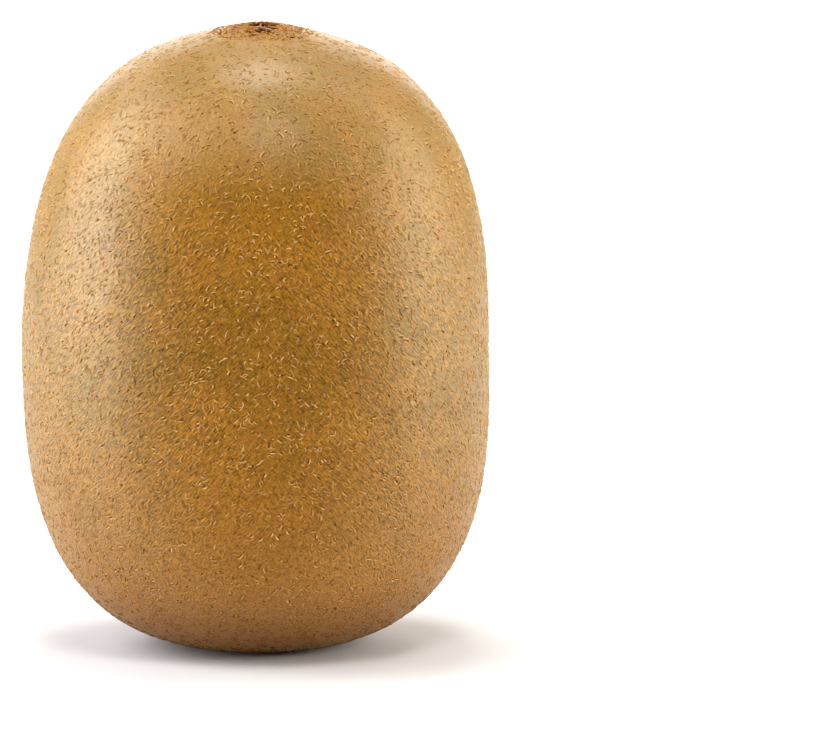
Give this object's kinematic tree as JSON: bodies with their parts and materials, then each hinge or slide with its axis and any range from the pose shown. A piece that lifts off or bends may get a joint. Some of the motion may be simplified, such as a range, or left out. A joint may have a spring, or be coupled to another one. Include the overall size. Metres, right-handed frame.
{
  "type": "golden kiwi fruit",
  "caption": "Whole golden kiwi fruit, smooth and bronze skinned, standing on its stem end, with a dry style scar on a low beak at the top.",
  "frame": {"origin": "middle of the fruit's outline, on the flat spot that it stands on", "axes": "+Z from the stem end up to the blossom end, which is the fruit's longest extent; -Y is the front, where the crown nods to; +X to the right"},
  "size_m": [0.0522, 0.05, 0.0704],
  "materials": {
    "kiwi_skin": "satin"
  },
  "bodies": {
    "root": {"kiwi_fruit": "kiwi_skin"}
  },
  "joints": []
}
